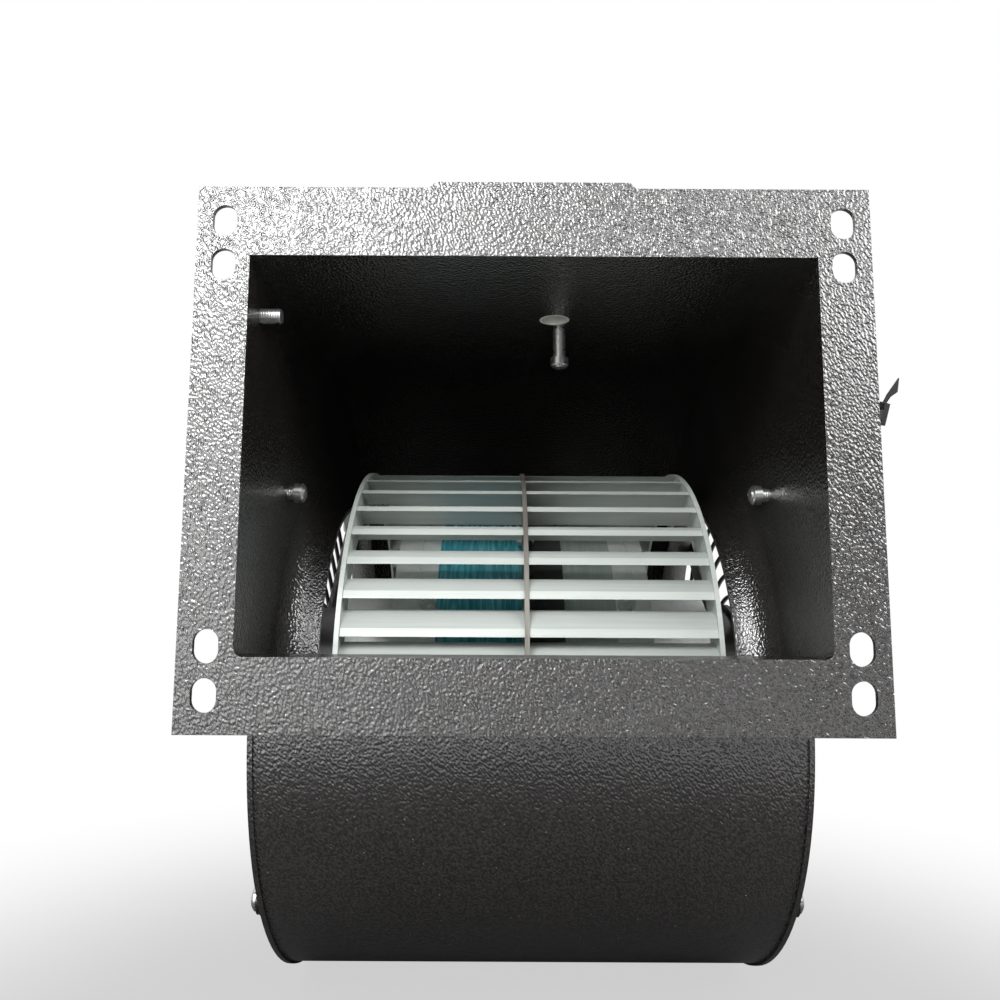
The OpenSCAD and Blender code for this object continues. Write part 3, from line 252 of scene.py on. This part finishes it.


# The housing's gloss black coat, and a finer one on the guards and brackets
# The near black colour for the dips between the bumps is painted shade, on both coats
housingCoat = dict(
    base=(0.026, 0.022, 0.020), paintedHollowShade=(0.003, 0.003, 0.003), dust=(0.05, 0.046, 0.044),
    lint=(0.45, 0.42, 0.38), roughness=0.21, gloss=0.74, ior=2.0, bumpScale=1600.0, grain=0.18,
    relief=1.0, depth=0.00026, smudge=0.03, dulling=0.04, speck=0.35, dustScale=420.0,
    dustSize=0.1)
plainCoat = dict(
    housingCoat, base=(0.016, 0.016, 0.016), bumpScale=2200.0, grain=0.1, depth=0.00005,
    roughness=0.28, gloss=0.6, ior=1.6)
materials = {
    "black_wrinkle_coat": coatMaterial("wrinkleBlack", housingCoat),
    "black_paint": coatMaterial("guardBlack", plainCoat),
}
metals = {
    "galvanised_sheet": dict(base=(0.60, 0.64, 0.61), streak=(0.54, 0.58, 0.55),
        stain=(0.50, 0.54, 0.51), roughness=0.36, metallic=0.15,
        stretch=(25, 700, 700), dull=0.3, relief=0.25),
    "zinc_plate": dict(base=(0.70, 0.71, 0.70), streak=(0.60, 0.61, 0.60),
        stain=(0.5, 0.5, 0.48), roughness=0.24, metallic=0.95,
        stretch=(600, 600, 600), dull=0.3, relief=0.1),
    "cast_aluminium": dict(base=(0.74, 0.76, 0.74), streak=(0.64, 0.66, 0.65),
        stain=(0.42, 0.43, 0.42), roughness=0.42, metallic=0.5,
        stretch=(300, 300, 300), dull=0.4, relief=0.3),
    "rotor_steel": dict(base=(0.44, 0.49, 0.47), streak=(0.36, 0.41, 0.39),
        stain=(0.30, 0.33, 0.31), roughness=0.38, metallic=0.6,
        stretch=(1200, 60, 60), dull=0.3, relief=0.3),
    "blue_film": dict(base=(0.006, 0.14, 0.20), streak=(0.06, 0.36, 0.41),
        stain=(0.20, 0.44, 0.46), roughness=0.2, metallic=0.1,
        stretch=(700, 60, 60), dull=0.4, relief=0.35),
    "black_moulding": dict(base=(0.022, 0.022, 0.023), streak=(0.03, 0.03, 0.03),
        stain=(0.05, 0.05, 0.048), roughness=0.42, metallic=0.0,
        stretch=(900, 90, 90), dull=0.3, relief=0.25),
    "ground_steel": dict(base=(0.50, 0.51, 0.51), streak=(0.42, 0.43, 0.43),
        stain=(0.36, 0.35, 0.33), roughness=0.22, metallic=0.95,
        stretch=(1500, 40, 40), dull=0.2, relief=0.2),
    "bearing_steel": dict(base=(0.58, 0.58, 0.58), streak=(0.5, 0.5, 0.5),
        stain=(0.4, 0.4, 0.38), roughness=0.15, metallic=0.98,
        stretch=(1500, 40, 40), dull=0.2, relief=0.1),
    "lamination_steel": dict(base=(0.30, 0.31, 0.32), streak=(0.18, 0.18, 0.19),
        stain=(0.14, 0.13, 0.12), roughness=0.5, metallic=0.8,
        stretch=(4000, 10, 10), dull=0.3, relief=0.6),
    "enamelled_copper": dict(base=(0.45, 0.16, 0.06), streak=(0.30, 0.09, 0.03),
        stain=(0.2, 0.06, 0.03), roughness=0.3, metallic=0.7,
        stretch=(60, 2500, 2500), dull=0.3, relief=0.8),
    "ferrite": dict(base=(0.06, 0.06, 0.065), streak=(0.05, 0.05, 0.05),
        stain=(0.09, 0.09, 0.09), roughness=0.6, metallic=0.2,
        stretch=(800, 800, 800), dull=0.3, relief=0.3),
    "circuit_board": dict(base=(0.02, 0.13, 0.05), streak=(0.03, 0.16, 0.07),
        stain=(0.02, 0.09, 0.04), roughness=0.35, metallic=0.0,
        stretch=(500, 500, 500), dull=0.3, relief=0.2),
    "nylon": dict(base=(0.72, 0.72, 0.66), streak=(0.68, 0.68, 0.62),
        stain=(0.6, 0.58, 0.5), roughness=0.42, metallic=0.0,
        stretch=(300, 300, 300), dull=0.2, relief=0.1),
    "black_rubber": dict(base=(0.02, 0.02, 0.02), streak=(0.028, 0.028, 0.028),
        stain=(0.06, 0.058, 0.055), roughness=0.62, metallic=0.0,
        stretch=(700, 700, 700), dull=0.4, relief=0.3),
    "lead_sheath": dict(base=(0.016, 0.016, 0.016), streak=(0.024, 0.024, 0.024),
        stain=(0.05, 0.05, 0.05), roughness=0.45, metallic=0.0,
        stretch=(200, 200, 200), dull=0.3, relief=0.2),
    "capacitor_sleeve": dict(base=(0.02, 0.03, 0.06), streak=(0.03, 0.04, 0.07),
        stain=(0.05, 0.05, 0.06), roughness=0.25, metallic=0.0,
        stretch=(100, 100, 100), dull=0.2, relief=0.05),
    "terminal_plastic": dict(base=(0.03, 0.20, 0.09), streak=(0.04, 0.22, 0.10),
        stain=(0.05, 0.16, 0.09), roughness=0.4, metallic=0.0,
        stretch=(300, 300, 300), dull=0.2, relief=0.1),
    "brass": dict(base=(0.55, 0.42, 0.15), streak=(0.48, 0.36, 0.12),
        stain=(0.34, 0.25, 0.10), roughness=0.3, metallic=0.95,
        stretch=(500, 500, 500), dull=0.4, relief=0.1),
}
for slotName, look in metals.items():
    materials[slotName] = metalMaterial(slotName.replace("_", ""), look)

slotOf = {part["node"]: part["material_slot"] for part in frame["record"]["subparts"]}
for nodeName, thing in frame["nodes"].items():
    thing.data.materials.clear()
    thing.data.materials.append(materials[slotOf[nodeName]])
print("finishes laid on the frame")

# The impeller's middle disc is darker and duller than its blades, with heavy brown mottling
discLook = dict(base=(0.27, 0.265, 0.245), streak=(0.20, 0.185, 0.165),
    stain=(0.10, 0.07, 0.05), roughness=0.42, metallic=0.3,
    stretch=(900, 120, 120), dull=0.8, relief=0.2)
frame["nodes"]["impeller_disc"].data.materials[0] = metalMaterial("discSteel", discLook)


def selectOnly(thing):
    bpy.ops.object.select_all(action="DESELECT")
    thing.select_set(True)
    bpy.context.view_layer.objects.active = thing


# Runs one operator on the whole mesh of the active object
def editAll(operator, **settings):
    bpy.ops.object.mode_set(mode="EDIT")
    bpy.ops.mesh.select_all(action="SELECT")
    operator(**settings)
    bpy.ops.object.mode_set(mode="OBJECT")


# A copy of a CAD piece with its points merged, which stands for it once its edges are rounded
mergeReach = 1e-6


def dressedCopy(nodeName, pieceName, body):
    source = frame["nodes"][nodeName]
    piece = bpy.data.objects.new(pieceName, source.data.copy())
    bpy.context.scene.collection.objects.link(piece)
    selectOnly(piece)
    editAll(bpy.ops.mesh.remove_doubles, threshold=mergeReach)
    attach(piece, body)
    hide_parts(nodeName)
    return piece


# The coat rounds the flange's sheared edges, and they catch the light
flangeEdge = dict(round=0.0006, steps=4, sharper=35, flat=0.5)


def addCoatedFlange():
    flange = dressedCopy("outlet_flange", "coatedFlange", "housing")
    editAll(bpy.ops.mesh.dissolve_limited, angle_limit=math.radians(flangeEdge["flat"]))
    edge = flange.modifiers.new("edge", "BEVEL")
    edge.width = flangeEdge["round"]
    edge.segments = flangeEdge["steps"]
    edge.limit_method = "ANGLE"
    edge.angle_limit = math.radians(flangeEdge["sharper"])
    bpy.ops.object.modifier_apply(modifier="edge")
    bpy.ops.object.shade_flat()


addCoatedFlange()

# The lead's facets are rounded
leadFinish = dict(levels=1, sharper=40)


def addSmoothLead():
    lead = dressedCopy("motor_lead", "motorLeadSheath", "housing")
    rounder = lead.modifiers.new("rounder", "SUBSURF")
    rounder.levels = leadFinish["levels"]
    rounder.render_levels = leadFinish["levels"]
    bpy.ops.object.modifier_apply(modifier="rounder")
    bpy.ops.object.shade_smooth_by_angle(angle=math.radians(leadFinish["sharper"]))


addSmoothLead()
print("flange edges and lead rounded")

# Threads on the screws that reach into the duct and the scroll
threadSet = dict(pitch=0.0007, radius=0.00195, rib=0.00032, steps=18, corners=3)
guardScrew = dict(wall=0.079, tip=0.0731, ringRadius=0.0905, ringAngle=44.5,
    axisY=0.113, axisZ=-0.069)
# Reach of the two other threads, from the ends of their screws
earthScrew = dict(start=0.0045, end=0.0001)
dropScrew = dict(start=0.0001, end=0.0135)


def addThread(name, start, end):
    run = Vector(end) - Vector(start)
    bpy.ops.object.select_all(action="DESELECT")
    bpy.ops.mesh.primitive_circle_add(vertices=threadSet["corners"], radius=threadSet["rib"],
        fill_type="NOTHING", rotation=(math.pi / 2, 0, 0))
    rib = bpy.context.object
    rib.name = name
    bpy.ops.object.transform_apply(location=True, rotation=True, scale=True)
    editAll(bpy.ops.transform.translate, value=(threadSet["radius"], 0, 0))
    coil = rib.modifiers.new("coil", "SCREW")
    coil.axis = "Z"
    coil.screw_offset = threadSet["pitch"]
    coil.iterations = max(1, round(run.length / threadSet["pitch"]))
    coil.steps = threadSet["steps"]
    coil.render_steps = threadSet["steps"]
    bpy.ops.object.modifier_apply(modifier="coil")
    editAll(bpy.ops.mesh.fill_holes, sides=threadSet["corners"] + 1)
    editAll(bpy.ops.mesh.normals_make_consistent, inside=False)
    rib.rotation_euler = run.to_track_quat("Z", "Y").to_euler()
    rib.location = start
    bpy.ops.object.transform_apply(location=True, rotation=True, scale=True)
    rib.data.materials.append(materials["zinc_plate"])
    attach(rib, "housing")


turn = guardScrew["ringAngle"]
ring = guardScrew["ringRadius"]
for side, sideName in ((-1, "Left"), (1, "Right")):
    for place, angle in enumerate((turn, -turn, 180 - turn, 180 + turn), start=1):
        y = guardScrew["axisY"] - ring * math.cos(math.radians(angle))
        z = guardScrew["axisZ"] - ring * math.sin(math.radians(angle))
        addThread("guardThread" + sideName + str(place),
            (side * guardScrew["tip"], y, z), (side * guardScrew["wall"], y, z))
low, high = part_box("earth_screw")
y, z = (low[1] + high[1]) / 2, (low[2] + high[2]) / 2
addThread("earthThread",
    (low[0] + earthScrew["start"], y, z), (high[0] - earthScrew["end"], y, z))
low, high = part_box("box_fixing_screw")
x, y = (low[0] + high[0]) / 2, (low[1] + high[1]) / 2
addThread("dropThread",
    (x, y, low[2] + dropScrew["start"]), (x, y, low[2] + dropScrew["end"]))
print("screw threads cut")


# Full for rays from the camera and through clear things, and nothing for reflections and light
def seenDirectly(tree):
    rays = addNode(tree, "ShaderNodeLightPath").outputs
    return mathNode(tree, "MAXIMUM", rays["Is Camera Ray"], rays["Is Transmission Ray"])


# Floor, lamps and sky
floorSet = dict(z=-0.1745, size=8.0, nearEdge=0.14, farEdge=0.4, paintedShadowTone=(0.06, 0.06, 0.06),
    farTone=(0.5, 0.5, 0.5), roughness=0.8, nearGlow=0.6, addedGlow=0.4)
bpy.ops.object.select_all(action="DESELECT")
bpy.ops.mesh.primitive_plane_add(size=floorSet["size"], location=(0, 0, floorSet["z"]))
floor = bpy.context.object
floor.name = "studioFloor"
floorPaint, floorTree, floorShader = newMaterial(
    "paleFloor", floorSet["farTone"], floorSet["roughness"])
# Away from the fan the floor turns into the white background; close to the fan its colour is
# painted dark, a painted shadow round the fan that also darkens the floor seen in reflections
floorPlace = addNode(floorTree, "ShaderNodeTexCoord")
floorReach = addNode(floorTree, "ShaderNodeVectorMath", operation="LENGTH")
floorTree.links.new(floorPlace.outputs["Object"], floorReach.inputs[0])
floorFade = addNode(floorTree, "ShaderNodeMapRange", interpolation_type="SMOOTHSTEP")
floorFade.inputs["From Min"].default_value = floorSet["nearEdge"]
floorFade.inputs["From Max"].default_value = floorSet["farEdge"]
floorTree.links.new(floorReach.outputs["Value"], floorFade.inputs["Value"])
# Painted shadow: the floor's colour is near black close to the fan and fades out with distance
floorTone = mixColor(floorTree, floorFade.outputs[0], floorSet["paintedShadowTone"], floorSet["farTone"])
floorTree.links.new(floorTone, floorShader.inputs["Base Color"])
floorAdded = mathNode(floorTree, "MULTIPLY", floorFade.outputs[0], floorSet["addedGlow"])
floorGlowing = mathNode(floorTree, "ADD", floorAdded, floorSet["nearGlow"])
floorSeen = seenDirectly(floorTree)
floorGlow = addNode(floorTree, "ShaderNodeEmission")
floorBlend = addNode(floorTree, "ShaderNodeMixShader")
floorShare = mathNode(floorTree, "MULTIPLY", floorGlowing, floorSeen)
floorTree.links.new(floorShare, floorBlend.inputs[0])
floorTree.links.new(floorShader.outputs[0], floorBlend.inputs[1])
floorTree.links.new(floorGlow.outputs[0], floorBlend.inputs[2])
floorTree.links.new(floorBlend.outputs[0], floorTree.nodes["Material Output"].inputs["Surface"])
floor.data.materials.append(floorPaint)


def addSoftbox(name, place, aim, size, power):
    bpy.ops.object.light_add(type="AREA", location=place)
    lamp = bpy.context.object
    lamp.name = name
    lamp.data.shape = "RECTANGLE"
    lamp.data.size, lamp.data.size_y = size
    lamp.data.energy = power
    direction = Vector(aim) - Vector(place)
    lamp.rotation_euler = direction.to_track_quat("-Z", "Y").to_euler()


addSoftbox("keySoftbox", (-0.46, -1.04, 0.65), (-0.08, 0, 0.06), (0.6, 0.45), 11.5)
addSoftbox("lowSoftbox", (-0.6, -1.0, -0.04), (-0.05, 0, 0), (0.9, 0.5), 4)
addSoftbox("sideSoftbox", (0.86, -0.62, 0.5), (-0.07, 0.04, -0.04), (0.6, 0.5), 7.5)
addSoftbox("broadSoftbox", (0.1, -1.0, 0.64), (0, 0, 0), (1.4, 0.7), 5)
addSoftbox("topSoftbox", (0.0, 0.35, 1.3), (0, 0.1, 0), (1.6, 1.4), 9)

# The studio is dark in front of the outlet and pale behind and beside the fan
skyLevels = {"From Min": -0.55, "From Max": 0.25, "To Min": 0.06, "To Max": 0.75}
world = bpy.data.worlds.new("softSky")
bpy.context.scene.world = world
world.use_nodes = True
sky = world.node_tree
backdrop = sky.nodes["Background"]
backdrop.inputs["Color"].default_value = (1, 1, 1, 1)
skyWay = addNode(sky, "ShaderNodeTexCoord")
skyParts = addNode(sky, "ShaderNodeSeparateXYZ")
sky.links.new(skyWay.outputs["Generated"], skyParts.inputs[0])
paleSide = addNode(sky, "ShaderNodeMapRange", interpolation_type="SMOOTHSTEP")
for socketName, value in skyLevels.items():
    paleSide.inputs[socketName].default_value = value
sky.links.new(skyParts.outputs["Y"], paleSide.inputs["Value"])
skyStrength = mathNode(sky, "MAXIMUM", seenDirectly(sky), paleSide.outputs[0])
sky.links.new(skyStrength, backdrop.inputs["Strength"])

# Camera in front of the outlet, a little below its middle and looking up
lensSet = dict(place=(-0.00912, -0.21444, -0.03831), pitch=6.671, roll=0.2913, focal=28.995,
    sensor=36, near=0.01)
cameraData = bpy.data.cameras.new("outletCamera")
cameraData.lens = lensSet["focal"]
cameraData.sensor_width = lensSet["sensor"]
cameraData.clip_start = lensSet["near"]
camera = bpy.data.objects.new("outletCamera", cameraData)
bpy.context.scene.collection.objects.link(camera)
camera.location = lensSet["place"]
tilt = math.radians(lensSet["pitch"])
lean = math.radians(lensSet["roll"])
camera.rotation_euler = Euler(
    (math.pi / 2 + tilt, -lean * math.cos(tilt), -lean * math.sin(tilt)))
bpy.context.scene.camera = camera
bpy.context.scene.view_settings.view_transform = "Standard"
print("stage, lamps and camera set")
